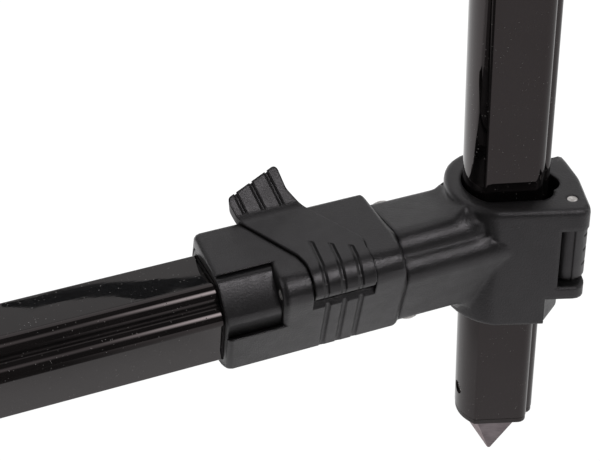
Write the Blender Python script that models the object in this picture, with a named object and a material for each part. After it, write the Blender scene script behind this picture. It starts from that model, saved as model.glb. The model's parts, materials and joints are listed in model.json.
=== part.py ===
"""Corner of a fishing rod pod: a bar in a cam-lever socket, and a spiked leg through a cam-lever collar.

Units are metres. The origin is the centre of the bar's far end, +X runs along the bar to the head
and +Z is up, along the leg. Both tubes have the same grooved section, and each is held by a cam
lever whose shoe bears on the groove.
"""

import math

import bmesh
import bpy
import numpy as np
from mathutils import Matrix, Vector

# Tube sections, the same shape in two sizes
TUBE_FLAT_ANGLE = math.radians(60.0)     # flats' normals, each side of the groove

BAR_RADIUS = 0.0155
BAR_FLAT = 0.0128                        # axis to each flat
BAR_LOBE_RADIUS = 0.0036
BAR_LOBE_SPREAD = 0.0032                 # groove centre to each lobe's centre
BAR_GROOVE_DEPTH = 0.0012
BAR_CORNER_RADIUS = 0.0015
BAR_WALL = 0.0015
BAR_LENGTH = 0.300

LEG_RADIUS = 0.0122
LEG_FLAT = 0.0101
LEG_LOBE_RADIUS = 0.0029
LEG_LOBE_SPREAD = 0.0025
LEG_GROOVE_DEPTH = 0.0010
LEG_CORNER_RADIUS = 0.0012
LEG_WALL = 0.0014
LEG_LENGTH = 0.300
LEG_FOOT = 0.0683                        # bar axis down to the leg tube's lower end

# Directions of the two grooves
BAR_GROOVE_TILT = math.radians(39.5)     # above the horizontal, towards -Y
LEG_GROOVE_TURN = math.radians(-49.0)    # from +X, about +Z

# Fits
SEAT_GAP = 0.0003                        # between fixed pieces that meet
TUBE_FIT = 0.00025                       # bar in its socket, each side
PIN_FIT = 0.0001                         # pin in its holes, each side
LEVER_GAP = 0.0004                       # lever to the walls and floor beside it
CAM_GAP = 0.0002                         # cam to shoe, and shoe to tube
SHOE_FIT = 0.0003                        # shoe in its window

# Collar round the leg
COLLAR_TOP = 0.0197                      # above the bar's axis
COLLAR_BOTTOM = 0.0217                   # below the bar's axis
COLLAR_RADIUS = 0.0186                   # about the centre of the leg's opening
COLLAR_EDGE = 0.0020
COLLAR_SWELL = 0.0015                       # extra radius at the back
COLLAR_SWELL_TURN = math.radians(118.0)     # its middle, from +X, and its half width
COLLAR_SWELL_HALF = math.radians(50.0)
COLLAR_FOOT_EDGE = 0.0008
COLLAR_FRONT = 0.0180                    # opening's centre to the flat front face
COLLAR_FRONT_TURN = math.radians(-109.9)     # direction of that face's normal
COLLAR_FRONT_RUN = 0.0220                # front face's foot to its right-hand corner
EAR_BOTTOM = 0.0120                      # below the bar's axis
LEG_OPENING_FIT = 0.0018                 # loose, taken up by the clamp
LEG_PUSH = 0.0014                        # the clamp holds the leg this far off the opening's centre

# Arm from the collar to the clamp housing
ARM_REACH = 0.0388                       # leg axis to the arm's end
ARM_GROW = 0.0022                        # outside the bar's section
ARM_BLEND = 0.0060
ARM_ROOT = 0.0030                        # leg axis to the last section, inside the collar
ARM_BLEND_REACH = 0.0250                 # leg axis to the start of the blend
ARM_SOCKET = 0.0240                      # leg axis to the blind end of the arm's bore

# Clamp housing
HOUSING_LENGTH = 0.0539
HOUSING_TOP_ANGLE = math.radians(50.0)
HOUSING_TOP = 0.0180                     # bar axis to the top flat
HOUSING_FRONT_ANGLE = math.radians(-60.0)
HOUSING_FRONT = 0.0166                   # bar axis to the grip flat
HOUSING_NOSE_RADIUS = 0.0060
HOUSING_BACK_RADIUS = 0.0188
HOUSING_SHOULDER = 0.0120                # top flat's run past its foot, to the rear shoulder
HOUSING_SHOULDER_RADIUS = 0.0025
HOUSING_END_SLOPE = 0.0025
HOUSING_EDGE = 0.0020
SOCKET_FLOOR = 0.0039                       # wall between the socket and the spigot
SPIGOT_LENGTH = 0.0118
SPIGOT_BORE = 0.0104
GRIP_GROOVES = 3
GRIP_GROOVE_RADIUS = 0.0009
GRIP_GROOVE_PITCH = 0.0050
GRIP_GROOVE_LEAD = 0.0047                   # first groove before the barrel's middle

# Liner in the socket's mouth
LINER_COVERED = 0.0056                   # length inside the housing
LINER_END_GAP = 0.0040                   # liner's inner end to the shoe
LINER_NOSE = 0.0194                      # bar axis to the nose flat
LINER_FLAT = 0.0150
LINER_BACK = 0.0172
LINER_CORNER = 0.0030
STEP_LOW = math.radians(-37.0)           # housing's edges beside the bare liner, from the groove
STEP_HIGH = math.radians(21.6)

# Cam clamps
PIN_RADIUS = 0.0015
PIN_SIDE = -0.0019                       # pin beside the groove's plane
PIN_BLIND = 0.0053                       # bar pin's end past the barrel
BAR_PIN_HEIGHT = 0.0220                  # pin above the bar's axis
LEG_PIN_HEIGHT = 0.0218
BAR_LEVER_BACK = 0.0201                  # barrel's middle, from the housing's end at the arm
LEG_LEVER_X = -0.00225                   # barrel's middle, down from the bar axis
LEG_SLOT_GAP = 0.0013                    # beside the leg lever's barrel
BARREL_LENGTH = 0.0179
BARREL_RADIUS = 0.0044
BARREL_CLEARANCE = 0.0005
CAM_RADIUS = 0.0042                      # closed
CAM_LIFT = 0.0003
CAM_RUN_OUT = 0.40                       # turn past fully open at which the cam ends, in radians
LEVER_OPEN = math.radians(110.0)
LEVER_TILT = math.radians(-50.0)         # lever's plate, from across the groove
LEVER_FACE = 0.0063                      # pin to the plate's outer face
LEVER_THICKNESS = 0.0026
LEVER_NOSE_SHIFT = 0.0019
LEVER_WIDTH = 0.0196
LEVER_SKEW = -0.47                       # sideways run of the plate's edges
LEVER_SHOULDER = 0.0080                  # where the plate reaches its full width
TAB_START = 0.0270
TAB_BEND = 0.0060
TAB_ANGLE = math.radians(40.0)
TAB_RUN = 0.0156
TAB_GROOVES = 3
TAB_GROOVE_FIRST = -0.0062
TAB_GROOVE_PITCH = 0.0057
TAB_GROOVE_HALF = 0.0004
PLATE_GROOVES = 3
PLATE_GROOVE_FIRST = -0.0054
PLATE_GROOVE_PITCH = 0.0051
PLATE_GROOVE_END = 0.0119                # where the first one ends on the plate
PLATE_GROOVE_STEP = 0.0030               # by how much each next one is shorter
PLATE_GROOVE_HALF = 0.00045
PLATE_GROOVE_DEPTH = 0.0004
PLATE_GROOVE_TURN = math.radians(-5.0)
SHOE_WIDTH = 0.0074
SHOE_LENGTH = 0.0166
SHOE_CORNER = 0.0005
PAD_HALF = 0.0013
PAD_FIT = 0.0001
BAR_SLOT_LIP = (-0.0082, 0.0190)         # lower edge of the lever's slot, across and out of the groove
LEG_SLOT_LIP = (-0.0072, 0.0207)
LEG_POCKET_GAP = 0.0011                  # beside the leg lever's plate, which turns out past the wall

# Ends of the tubes
SPIKE_FLANGE = 0.0017
SPIKE_FLANGE_GROW = -0.00015
SPIKE_HEIGHT = 0.0202
SPIKE_SIDES = 6
SPIKE_TIP = 0.0007
SPIKE_INSET = 0.00008                    # point's faces inside the flange's flats
SPIKE_PLUG = 0.0180
CAP_THICKNESS = 0.0030
CAP_GROW = 0.0003
PLUG_LENGTH = 0.0120
PLUG_FIT = 0.0003
PLUG_BORE_SHARE = 0.78                   # of the plug's own size
SPIKE_PIN_RADIUS = 0.0022
SPIKE_PIN_BORE = 0.0013
SPIKE_PIN_RISE = 0.0085                  # above the tube's end
SPIKE_PIN_TURN = math.radians(-136.0)    # from the leg's groove
SPIKE_PIN_BACK = 0.0112
SPIKE_PIN_FRONT = 0.0094

# Screws into the housing's spigot
SCREW_X = -0.0335
SCREW_RADIUS = 0.0013
SCREW_HEAD_RADIUS = 0.0029
SCREW_HEAD = 0.0012
SCREW_LENGTH = 0.0062
SCREW_ANGLES = (math.radians(-112.0), math.radians(112.0))

ROUND = 24                               # sides of a pin or hole

HOUSING_END = -ARM_REACH - SEAT_GAP
HOUSING_START = HOUSING_END - HOUSING_LENGTH
SOCKET_END = HOUSING_END - SOCKET_FLOOR
HEAD_X = BAR_LENGTH - SOCKET_END + SEAT_GAP
BAR_LEVER_X = HOUSING_END - BAR_LEVER_BACK
LINER_LENGTH = BAR_LEVER_X - SHOE_LENGTH / 2 - LINER_END_GAP - HOUSING_START
STEP_X = HOUSING_START + LINER_LENGTH - LINER_COVERED
CUT_PAST = 0.010                         # how far a cutter runs past what it cuts


def arc(y, z, radius, start, end, steps):
    """Points on an arc, its angles counted from +Z towards +Y."""
    points = []
    for step in range(steps + 1):
        angle = start + (end - start) * step / steps
        points.append((y + radius * math.sin(angle), z + radius * math.cos(angle)))
    return points


class Section:
    """Outline of a grooved tube, in a plane whose Y is across the groove and whose Z points out of it."""

    def __init__(self, radius, flat, lobe, spread, depth, corner):
        self.radius = radius
        self.flat = flat
        self.lobe = lobe
        self.spread = spread
        self.depth = depth
        self.corner = corner
        self.lobe_height = (flat - lobe - spread * math.sin(TUBE_FLAT_ANGLE)) / math.cos(TUBE_FLAT_ANGLE)
        self.crest = self.lobe_height + lobe
        rise = lobe - depth
        self.hollow = (rise ** 2 + spread ** 2 - lobe ** 2) / (2 * (lobe - rise))
        self.hollow_height = self.lobe_height + rise + self.hollow

    def half(self, grow, fine):
        """Points on the +Y side from the groove round to the back, moved out by grow."""
        points = []
        hollow = self.hollow - grow
        outer = self.lobe + grow
        if hollow > 0.0002:
            meet = math.atan2(self.spread, self.lobe_height - self.hollow_height)
            points += arc(0.0, self.hollow_height, hollow, math.pi, meet, 2 * fine)[:-1]
            start = math.atan2(-self.spread, self.hollow_height - self.lobe_height)
        else:
            start = -math.asin(self.spread / outer)
        points += arc(self.spread, self.lobe_height, outer, start, TUBE_FLAT_ANGLE, 5 * fine)
        reach = self.radius - self.corner
        turn = TUBE_FLAT_ANGLE + math.acos((self.flat - self.corner) / reach)
        points += arc(reach * math.sin(turn), reach * math.cos(turn), self.corner + grow,
                      TUBE_FLAT_ANGLE, turn, 2 * fine)
        points += arc(0.0, 0.0, self.radius + grow, turn, math.pi, 6 * fine)[1:]
        return points

    def outline(self, grow=0.0, fine=1):
        """The whole closed outline."""
        right = self.half(grow, fine)
        left = [(-y, z) for y, z in reversed(right[1:-1])]
        return right + left

    def lining(self, wall):
        """The section inside a wall."""
        return Section(self.radius - wall, self.flat - wall, self.lobe - wall, self.spread,
                       self.depth + 0.0001, max(self.corner - wall, 0.0005))


BAR = Section(BAR_RADIUS, BAR_FLAT, BAR_LOBE_RADIUS, BAR_LOBE_SPREAD, BAR_GROOVE_DEPTH, BAR_CORNER_RADIUS)
LEG = Section(LEG_RADIUS, LEG_FLAT, LEG_LOBE_RADIUS, LEG_LOBE_SPREAD, LEG_GROOVE_DEPTH, LEG_CORNER_RADIUS)


def rounded(corners, radii, steps=4):
    """A polygon's corners as arcs, each with its own radius."""
    points = []
    count = len(corners)
    for index, radius in enumerate(radii):
        here = Vector(corners[index])
        if radius <= 0.0:
            points.append(tuple(here))
            continue
        before = (Vector(corners[index - 1]) - here).normalized()
        after = (Vector(corners[(index + 1) % count]) - here).normalized()
        half = before.angle(after) / 2
        setback = radius / math.tan(half)
        centre = here + (before + after).normalized() * (radius / math.sin(half))
        first = here + before * setback - centre
        last = here + after * setback - centre
        sweep = math.atan2(first.x * last.y - first.y * last.x, first.dot(last))
        for step in range(steps + 1):
            turn = sweep * step / steps
            points.append((centre.x + first.x * math.cos(turn) - first.y * math.sin(turn),
                           centre.y + first.x * math.sin(turn) + first.y * math.cos(turn)))
    return points


def moved_out(corners, grow):
    """A polygon's corners moved so that its edges lie farther out; the corners run anticlockwise."""
    moved = []
    count = len(corners)
    for index, corner in enumerate(corners):
        here = Vector(corner)
        before = (here - Vector(corners[index - 1])).normalized()
        after = (Vector(corners[(index + 1) % count]) - here).normalized()
        first = Vector((before.y, -before.x))
        side = (first + Vector((after.y, -after.x))).normalized()
        moved.append(tuple(here + side * (grow / side.dot(first))))
    return moved


def crossing(angle_a, distance_a, angle_b, distance_b):
    """Where two lines meet, each given by its normal's angle from +Z towards +Y and its distance."""
    rows = np.array([[math.sin(angle_a), math.cos(angle_a)], [math.sin(angle_b), math.cos(angle_b)]])
    return tuple(float(value) for value in np.linalg.solve(rows, (distance_a, distance_b)))


def ray_reach(outline, angle):
    """How far an outline is from the axis in one direction, taking the farthest crossing."""
    across, out = math.sin(angle), math.cos(angle)
    best = 0.0
    for (ay, az), (by, bz) in zip(outline, outline[1:] + outline[:1]):
        side_a = ay * out - az * across
        side_b = by * out - bz * across
        if (side_a > 0.0) == (side_b > 0.0):
            continue
        share = side_a / (side_a - side_b)
        best = max(best, (ay + (by - ay) * share) * across + (az + (bz - az) * share) * out)
    return best


def outline_distance(points, outline):
    """Distance of each point to a closed outline, negative inside."""
    start = np.array(outline)
    edge = np.roll(start, -1, axis=0) - start
    offset = points[:, None, :] - start[None, :, :]
    share = np.clip((offset * edge).sum(2) / (edge ** 2).sum(1), 0.0, 1.0)
    gap = np.linalg.norm(offset - share[:, :, None] * edge[None, :, :], axis=2).min(1)
    end = start + edge
    level = points[:, 1][:, None]
    crosses = (start[None, :, 1] > level) != (end[None, :, 1] > level)
    height = np.where(np.abs(edge[:, 1]) < 1e-12, 1e-12, edge[:, 1])
    meet = start[None, :, 0] + (level - start[None, :, 1]) / height[None, :] * edge[None, :, 0]
    inside = (crosses & (points[:, 0][:, None] < meet)).sum(1) % 2 == 1
    return np.where(inside, -gap, gap)


BAR_TURN = Matrix.Rotation(math.pi / 2 - BAR_GROOVE_TILT, 4, "X")
LEG_ACROSS = Vector((-math.sin(LEG_GROOVE_TURN), math.cos(LEG_GROOVE_TURN), 0.0))
LEG_OUT = Vector((math.cos(LEG_GROOVE_TURN), math.sin(LEG_GROOVE_TURN), 0.0))
LEG_TURN = Matrix((Vector((0.0, 0.0, -1.0)), LEG_ACROSS, LEG_OUT)).transposed().to_4x4()
OPENING = LEG_OUT * LEG_PUSH


def material(name, colour, roughness, metallic):
    """A Principled BSDF material."""
    made = bpy.data.materials.new(name)
    made.use_nodes = True
    shader = made.node_tree.nodes["Principled BSDF"]
    shader.inputs["Base Color"].default_value = (*colour, 1.0)
    shader.inputs["Roughness"].default_value = roughness
    shader.inputs["Metallic"].default_value = metallic
    return made


def empty(name, location):
    """An empty that carries a group of pieces."""
    made = bpy.data.objects.new(name, None)
    made.empty_display_size = 0.01
    PARTS.objects.link(made)
    made.location = location
    return made


def piece(name, mesh, parent, finish, place=None):
    """A mesh as a named piece of the part."""
    made = bpy.data.objects.new(name, mesh)
    PARTS.objects.link(made)
    made.parent = parent
    if place is not None:
        made.matrix_local = place
    made.data.materials.append(FINISHES[finish])
    return made


def tool(target, mesh, operation, place=None):
    """Cut, join or keep with another mesh, given in the target's own frame."""
    made = bpy.data.objects.new(f"{target.name}_{operation.lower()}", mesh)
    CUTTERS.objects.link(made)
    made.hide_render = True
    made.display_type = "WIRE"
    made.parent = target
    if place is not None:
        made.matrix_local = place
    step = target.modifiers.new(operation.lower(), "BOOLEAN")
    step.operation = operation
    step.solver = "EXACT"
    step.object = made


# Puts an outline's plane across local X
ALONG_X = Matrix(((0, 0, 1, 0), (1, 0, 0, 0), (0, 1, 0, 0), (0, 0, 0, 1)))


def flat_mesh(name, loops, thickness):
    """Flat outlines as a 2D curve, extruded evenly about its plane and turned into a closed mesh."""
    curve = bpy.data.curves.new(name, "CURVE")
    curve.dimensions = "2D"
    curve.fill_mode = "BOTH"
    curve.extrude = thickness / 2
    for loop in loops:
        spline = curve.splines.new("POLY")
        spline.points.add(len(loop) - 1)
        for point, (across, up) in zip(spline.points, loop):
            point.co = (across, up, 0.0, 1.0)
        spline.use_cyclic_u = True
    holder = bpy.data.objects.new(name, curve)
    bpy.context.scene.collection.objects.link(holder)
    bpy.context.view_layer.update()
    evaluated = holder.evaluated_get(bpy.context.evaluated_depsgraph_get())
    mesh = bpy.data.meshes.new_from_object(evaluated)
    bpy.data.objects.remove(holder, do_unlink=True)
    bpy.data.curves.remove(curve)
    mesh.name = name
    work = bmesh.new()
    work.from_mesh(mesh)
    bmesh.ops.remove_doubles(work, verts=work.verts, dist=1e-6)
    bmesh.ops.recalc_face_normals(work, faces=work.faces)
    work.to_mesh(mesh)
    work.free()
    return mesh


def prism(name, loops, start, end):
    """Outlines across local X, extruded from start to end."""
    mesh = flat_mesh(name, loops, end - start)
    mesh.transform(Matrix.Translation(((start + end) / 2, 0.0, 0.0)) @ ALONG_X)
    return mesh


def slab(name, loops, low, high):
    """Outlines in local X and Y, extruded along local Z from low to high."""
    mesh = flat_mesh(name, loops, high - low)
    mesh.transform(Matrix.Translation((0.0, 0.0, (low + high) / 2)))
    return mesh


def soft_slab(name, loop, low, high, top_edge, low_edge):
    """A slab whose upper and lower edges are rounded."""
    mesh = slab(name, [loop], low, high)
    work = bmesh.new()
    work.from_mesh(mesh)
    inner = [e for e in work.edges if all(abs(f.normal.z) > 0.99 for f in e.link_faces)]
    bmesh.ops.dissolve_edges(work, edges=inner)
    middle = (low + high) / 2
    for upper, edge in ((True, top_edge), (False, low_edge)):
        rim = [e for e in work.edges if sum(abs(f.normal.z) > 0.99 for f in e.link_faces) == 1
               and (e.verts[0].co.z > middle) == upper]
        bmesh.ops.bevel(work, geom=rim, offset=edge, segments=3, profile=0.5, affect="EDGES")
    work.to_mesh(mesh)
    work.free()
    return mesh


def rod(name, radius, start, end, y=0.0, z=0.0, sides=ROUND, end_radius=None):
    """A round bar, or a taper, along local X."""
    mesh = bpy.data.meshes.new(name)
    work = bmesh.new()
    bmesh.ops.create_cone(work, cap_ends=True, segments=sides, radius1=radius,
                          radius2=radius if end_radius is None else end_radius, depth=end - start)
    bmesh.ops.transform(work, verts=work.verts, matrix=ALONG_X)
    bmesh.ops.translate(work, verts=work.verts, vec=((start + end) / 2, y, z))
    work.to_mesh(mesh)
    work.free()
    return mesh


def block(name, low, high):
    """A block between two corners, used as a cutter."""
    mesh = bpy.data.meshes.new(name)
    work = bmesh.new()
    bmesh.ops.create_cube(work, size=1.0)
    bmesh.ops.scale(work, verts=work.verts, vec=[b - a for a, b in zip(low, high)])
    bmesh.ops.translate(work, verts=work.verts, vec=[(a + b) / 2 for a, b in zip(low, high)])
    work.to_mesh(mesh)
    work.free()
    return mesh


def loft(name, stations):
    """A closed skin over rings of equal count, each ring a distance along X and its points."""
    mesh = bpy.data.meshes.new(name)
    work = bmesh.new()
    rings = [[work.verts.new((x, y, z)) for y, z in ring] for x, ring in stations]
    count = len(rings[0])
    for near, far in zip(rings, rings[1:]):
        for index in range(count):
            after = (index + 1) % count
            work.faces.new((near[index], near[after], far[after], far[index]))
    work.faces.new(rings[0])
    work.faces.new(rings[-1])
    bmesh.ops.recalc_face_normals(work, faces=work.faces)
    work.to_mesh(mesh)
    work.free()
    return mesh


def polar(angles, reaches):
    """Points round the axis from angles and distances."""
    return [(reach * math.sin(a), reach * math.cos(a)) for a, reach in zip(angles, reaches)]


def radial_place(x, angle):
    """A frame at a point of the axis whose X points straight out."""
    out = Vector((0.0, math.sin(angle), math.cos(angle)))
    side = Vector((1.0, 0.0, 0.0))
    place = Matrix((out, side, out.cross(side))).transposed().to_4x4()
    return Matrix.Translation((x, 0.0, 0.0)) @ place


def housing_outline():
    """The clamp block's section."""
    nose = crossing(HOUSING_TOP_ANGLE, HOUSING_TOP, HOUSING_FRONT_ANGLE, HOUSING_FRONT)
    top = HOUSING_TOP_ANGLE
    shoulder = (HOUSING_TOP * math.sin(top) + HOUSING_SHOULDER * math.cos(top),
                HOUSING_TOP * math.cos(top) - HOUSING_SHOULDER * math.sin(top))
    touch = math.atan2(*shoulder) + math.acos(HOUSING_BACK_RADIUS / math.hypot(*shoulder))
    foot = HOUSING_FRONT_ANGLE - math.acos(HOUSING_FRONT / HOUSING_BACK_RADIUS) + 2 * math.pi
    back = arc(0.0, 0.0, HOUSING_BACK_RADIUS, touch, foot, 16)
    radii = [HOUSING_NOSE_RADIUS, HOUSING_SHOULDER_RADIUS] + [0.0] * len(back)
    return rounded([nose, shoulder] + back, radii, 6)


def liner_outline(grow=0.0):
    """The socket liner's section: a nose flat, two side flats and a round back."""
    left = crossing(HOUSING_FRONT_ANGLE, LINER_FLAT + grow, 0.0, LINER_NOSE + grow)
    right = crossing(-HOUSING_FRONT_ANGLE, LINER_FLAT + grow, 0.0, LINER_NOSE + grow)
    radius = LINER_BACK + grow
    turn = -HOUSING_FRONT_ANGLE + math.acos((LINER_FLAT + grow) / radius)
    back = arc(0.0, 0.0, radius, turn, 2 * math.pi - turn, 16)
    corner = LINER_CORNER + grow
    return rounded([left, right] + back, [corner, corner] + [0.0] * len(back), 4)


def housing_skin():
    """The clamp block with its step for the liner, its rounded mouth and its sloped end."""
    whole = 2 * math.pi
    outer = housing_outline()
    bare = liner_outline(-0.0012)
    marks = [STEP_LOW + (STEP_HIGH - STEP_LOW) * s / 8 for s in range(9)]
    marks += [STEP_LOW - 0.004, STEP_HIGH + 0.004]
    angles = []
    for angle in sorted([math.atan2(y, z) % whole for y, z in outer] + [m % whole for m in marks]):
        if not angles or angle - angles[-1] > 0.003:
            angles.append(angle)
    full = [ray_reach(outer, a) for a in angles]
    arm_line = BAR.outline(ARM_GROW + SEAT_GAP)
    low_end = [min(ray_reach(arm_line, a), f - 0.0004) for a, f in zip(angles, full)]
    neck = []
    for angle, reach in zip(angles, full):
        signed = (angle + math.pi) % whole - math.pi
        if STEP_LOW - 0.002 < signed < STEP_HIGH + 0.002:
            reach = ray_reach(bare, angle)
        neck.append(reach)
    stations = []
    for step in range(4):
        turn = math.pi / 2 * step / 3
        drop = HOUSING_EDGE * (1 - math.sin(turn))
        stations.append((HOUSING_START + HOUSING_EDGE * (1 - math.cos(turn)), [n - drop for n in neck]))
    stations.append((STEP_X, neck))
    for step in range(5):
        turn = math.pi / 2 * step / 4
        along = STEP_X + 0.00005 + HOUSING_EDGE * (1 - math.cos(turn))
        ring = [f - min(HOUSING_EDGE, f - n) * (1 - math.sin(turn)) for f, n in zip(full, neck)]
        stations.append((along, ring))
    for share, fall in ((1.0, 0.0), (0.85, 0.03), (0.65, 0.14), (0.4, 0.38), (0.0, 1.0)):
        ring = [f - (f - e) * fall for f, e in zip(full, low_end)]
        stations.append((HOUSING_END - HOUSING_END_SLOPE * share, ring))
    return loft("clamp_housing", [(x, polar(angles, ring)) for x, ring in stations])


def cam_relief():
    """What is cut from the barrel's middle to leave the cam, about the pin."""
    steps = 18
    inner = []
    for step in range(steps + 1):
        opened = -CAM_RUN_OUT + (LEVER_OPEN + 2 * CAM_RUN_OUT) * step / steps
        reach = CAM_RADIUS - CAM_LIFT * min(max(opened, 0.0), LEVER_OPEN) / LEVER_OPEN
        angle = math.pi + LEVER_TILT + opened
        inner.append((reach * math.sin(angle), reach * math.cos(angle)))
    outer = [(y * 1.5, z * 1.5) for y, z in reversed(inner)]
    return inner + outer


def lever_profile():
    """The lever's section about its pin, Y along the plate and Z out of it."""
    inner = LEVER_FACE - LEVER_THICKNESS
    points = arc(LEVER_NOSE_SHIFT, 0.0, LEVER_FACE, -math.pi / 2, 0.0, 8)
    rise = LEVER_FACE + TAB_BEND
    points += arc(TAB_START, rise, TAB_BEND, math.pi, math.pi - TAB_ANGLE, 4)
    along = Vector((math.cos(TAB_ANGLE), math.sin(TAB_ANGLE)))
    out = Vector((-math.sin(TAB_ANGLE), math.cos(TAB_ANGLE)))
    tip = Vector(points[-1]) + along * TAB_RUN
    points += [tuple(tip), tuple(tip - out * LEVER_THICKNESS * 0.85)]
    points += arc(TAB_START, rise, TAB_BEND + LEVER_THICKNESS, math.pi - TAB_ANGLE, math.pi, 4)
    points.append((BARREL_RADIUS * 0.77, inner))
    points += arc(0.0, 0.0, BARREL_RADIUS, math.radians(45.0), math.radians(262.0), 18)
    return points


def lever_plan(grow=0.0):
    """The lever's outline from outside, X along its pin and Y along its plate."""
    half = BARREL_LENGTH / 2
    wide = LEVER_WIDTH / 2
    run = TAB_START - LEVER_SHOULDER
    corners = [(half, -0.020), (half, 0.0035), (wide, LEVER_SHOULDER),
               (wide + LEVER_SKEW * run, TAB_START), (-0.0036, TAB_START + 0.0070),
               (-0.0045, TAB_START + 0.0131), (-0.0215, TAB_START + 0.0078),
               (-wide + LEVER_SKEW * (run + 0.0036), TAB_START + 0.0036),
               (-wide, LEVER_SHOULDER), (-half, 0.0035), (-half, -0.020)]
    radii = [0.0, 0.003, 0.002, 0.006, 0.004, 0.0013, 0.0013, 0.0, 0.003, 0.003, 0.0]
    return rounded(moved_out(corners, grow), radii, 4)


def plate_groove(end):
    """What a groove takes from the plate, round its nose and along it to end, about the pin."""
    low = LEVER_FACE - PLATE_GROOVE_DEPTH
    high = LEVER_FACE + PLATE_GROOVE_DEPTH
    start = math.radians(-62.0)
    inside = arc(LEVER_NOSE_SHIFT, 0.0, low, start, 0.0, 8)
    outside = arc(LEVER_NOSE_SHIFT, 0.0, high, start - math.radians(5.0), 0.0, 8)
    run_out = 2 * PLATE_GROOVE_DEPTH
    return inside + [(end - run_out, low), (end, LEVER_FACE), (end, high)] + outside[::-1]


def make_lever(name, place):
    """A cam lever in one moulding: barrel, cam, skewed plate and a ribbed thumb tab."""
    lever = piece(name, prism(name, [lever_profile()], -0.030, 0.030), HEAD_ROOT, "moulding", place)
    tool(lever, slab("plan", [lever_plan()], -0.010, 0.030), "INTERSECT")
    half = BARREL_LENGTH / 2 + LEVER_GAP
    tool(lever, prism("relief", [cam_relief()], -half, half), "DIFFERENCE")
    tool(lever, rod("pin_hole", PIN_RADIUS + PIN_FIT, -0.030, 0.030), "DIFFERENCE")
    bend_end = arc(TAB_START, LEVER_FACE + TAB_BEND, TAB_BEND, math.pi, math.pi - TAB_ANGLE, 4)[-1]
    turn = Matrix.Rotation(TAB_ANGLE, 4, "X") @ Matrix.Rotation(math.radians(10.0), 4, "Z")
    for index in range(TAB_GROOVES):
        seat = Matrix.Translation((TAB_GROOVE_FIRST - TAB_GROOVE_PITCH * index, *bend_end)) @ turn
        low = (-TAB_GROOVE_HALF, -0.0004, -TAB_GROOVE_HALF)
        tool(lever, block("tab_groove", low, (TAB_GROOVE_HALF, 0.030, 0.002)), "DIFFERENCE", seat)
    for index in range(PLATE_GROOVES):
        x = PLATE_GROOVE_FIRST + PLATE_GROOVE_PITCH * index
        seat = Matrix.Translation((x, 0.0, 0.0)) @ Matrix.Rotation(PLATE_GROOVE_TURN, 4, "Z")
        loop = plate_groove(PLATE_GROOVE_END - PLATE_GROOVE_STEP * index)
        groove = prism("plate_groove", [loop], -PLATE_GROOVE_HALF, PLATE_GROOVE_HALF)
        tool(lever, groove, "DIFFERENCE", seat)


def lever_place(x, height):
    """A lever's frame: at its pin, turned so that Y runs along the plate and Z out of it."""
    return Matrix.Translation((x, PIN_SIDE, height)) @ Matrix.Rotation(LEVER_TILT, 4, "X")


def make_shoe(name, section, height, place):
    """The sliding shoe under a cam, hollowed to the tube, with a pad let into its face."""
    top = height - CAM_RADIUS - CAM_GAP
    low = section.lobe_height
    half = SHOE_WIDTH / 2
    length = SHOE_LENGTH / 2
    corners = [(-half, low), (half, low), (half, top), (-half, top)]
    loop = rounded(corners, [0.0, 0.0, SHOE_CORNER, SHOE_CORNER], 3)
    shoe = piece(name, prism(name, [loop], -length, length), HEAD_ROOT, "shoe", place)
    tool(shoe, prism("seat", [section.outline(CAM_GAP)], -0.02, 0.02), "DIFFERENCE")
    pad_top = section.crest + CAM_GAP
    recess = block("recess", (-length + 0.002, -PAD_HALF, low), (length - 0.002, PAD_HALF, pad_top))
    tool(shoe, recess, "DIFFERENCE")
    side = PAD_HALF - PAD_FIT
    corners = [(-side, low), (side, low), (side, pad_top - PAD_FIT), (-side, pad_top - PAD_FIT)]
    pad_mesh = prism(name + "_pad", [corners], -length + 0.0021, length - 0.0021)
    pad = piece(name + "_pad", pad_mesh, HEAD_ROOT, "rubber", place)
    tool(pad, prism("pad_seat", [section.outline(CAM_GAP / 2)], -0.02, 0.02), "DIFFERENCE")


def cut_clamp(target, x, height, place, side_gap, plate_gap, slot_lip, section):
    """The slot, plate pocket and shoe window of a cam clamp, cut from its carrier."""
    half = BARREL_LENGTH / 2 + side_gap
    seat = place @ lever_place(x, height)
    tool(target, rod("barrel_room", BARREL_RADIUS + BARREL_CLEARANCE, -half, half), "DIFFERENCE", seat)
    across, out = slot_lip[0] - PIN_SIDE, slot_lip[1] - height
    turn = -LEVER_TILT
    lip = (across * math.cos(turn) - out * math.sin(turn), across * math.sin(turn) + out * math.cos(turn))
    front = [(LEVER_NOSE_SHIFT, 0.020), (LEVER_NOSE_SHIFT, 0.0), lip,
             (lip[0] - 0.009, lip[1] - 0.0034), (-0.020, 0.0), (-0.020, 0.020)]
    tool(target, prism("slot", [front], -half, half), "DIFFERENCE", seat)
    floor = LEVER_FACE - LEVER_THICKNESS - LEVER_GAP
    tool(target, slab("pocket", [lever_plan(plate_gap)], floor, 0.040), "DIFFERENCE", seat)
    window = SHOE_WIDTH / 2 + SHOE_FIT
    reach = SHOE_LENGTH / 2 + SHOE_FIT
    low = (x - reach, -window, section.lobe_height)
    tool(target, block("window", low, (x + reach, window, height)), "DIFFERENCE", place)


def plug_stem(target, inner, start, end, way):
    """A hollow stem joined to a plug's flange, running inwards along X in the direction way."""
    hollow = [(y * PLUG_BORE_SHARE, z * PLUG_BORE_SHARE) for y, z in inner]
    tool(target, prism("stem", [inner], *sorted((start - way * 0.0005, end))), "UNION")
    tool(target, prism("hollow", [hollow], *sorted((start - way * 0.0002, end + way * 0.002))), "DIFFERENCE")


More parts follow.
